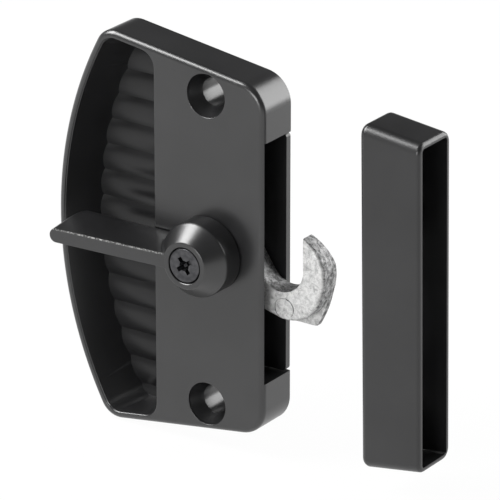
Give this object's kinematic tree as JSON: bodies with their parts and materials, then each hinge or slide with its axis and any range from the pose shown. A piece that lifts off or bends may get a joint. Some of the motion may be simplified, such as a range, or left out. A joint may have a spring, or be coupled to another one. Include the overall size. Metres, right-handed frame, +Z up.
{
  "type": "sliding door latch",
  "caption": "Sliding door latch with a ridged finger pull, a thumb lever that swings a cast hook out of the side, and a separate box keeper.",
  "frame": {"origin": "on the door face, midway between the two mounting screws of the latch", "axes": "+X to the right, from the finger pull to the hook and the keeper; +Y into the door; +Z up"},
  "size_m": [0.1022, 0.0229, 0.097],
  "materials": {
    "housing_plastic": "fine satin, moulded black",
    "plate_plastic": "moulded black",
    "screw_steel": "zinc-plated steel",
    "lever_plastic": "fine satin, moulded black",
    "black_screw_steel": "black oxide steel",
    "cast_zinc": "as-cast zinc alloy",
    "washer_nylon": "natural nylon",
    "spring_steel": "tempered strip",
    "keeper_plastic": "fine satin, moulded black"
  },
  "bodies": {
    "frame": {"housing": "housing_plastic", "back_plate": "plate_plastic", "back_plate_screws": "screw_steel", "hook_washer": "washer_nylon", "detent_spring": "spring_steel", "keeper": "keeper_plastic"},
    "latch": {"thumb_lever": "lever_plastic", "lever_screw": "black_screw_steel", "hook": "cast_zinc"}
  },
  "joints": [
    {"name": "latch_turn", "type": "hinge", "parent": "frame", "child": "latch", "pos_m": [0.0007, 0, 0], "axis": [0, 1, 0], "range_deg": [0, 75]}
  ]
}
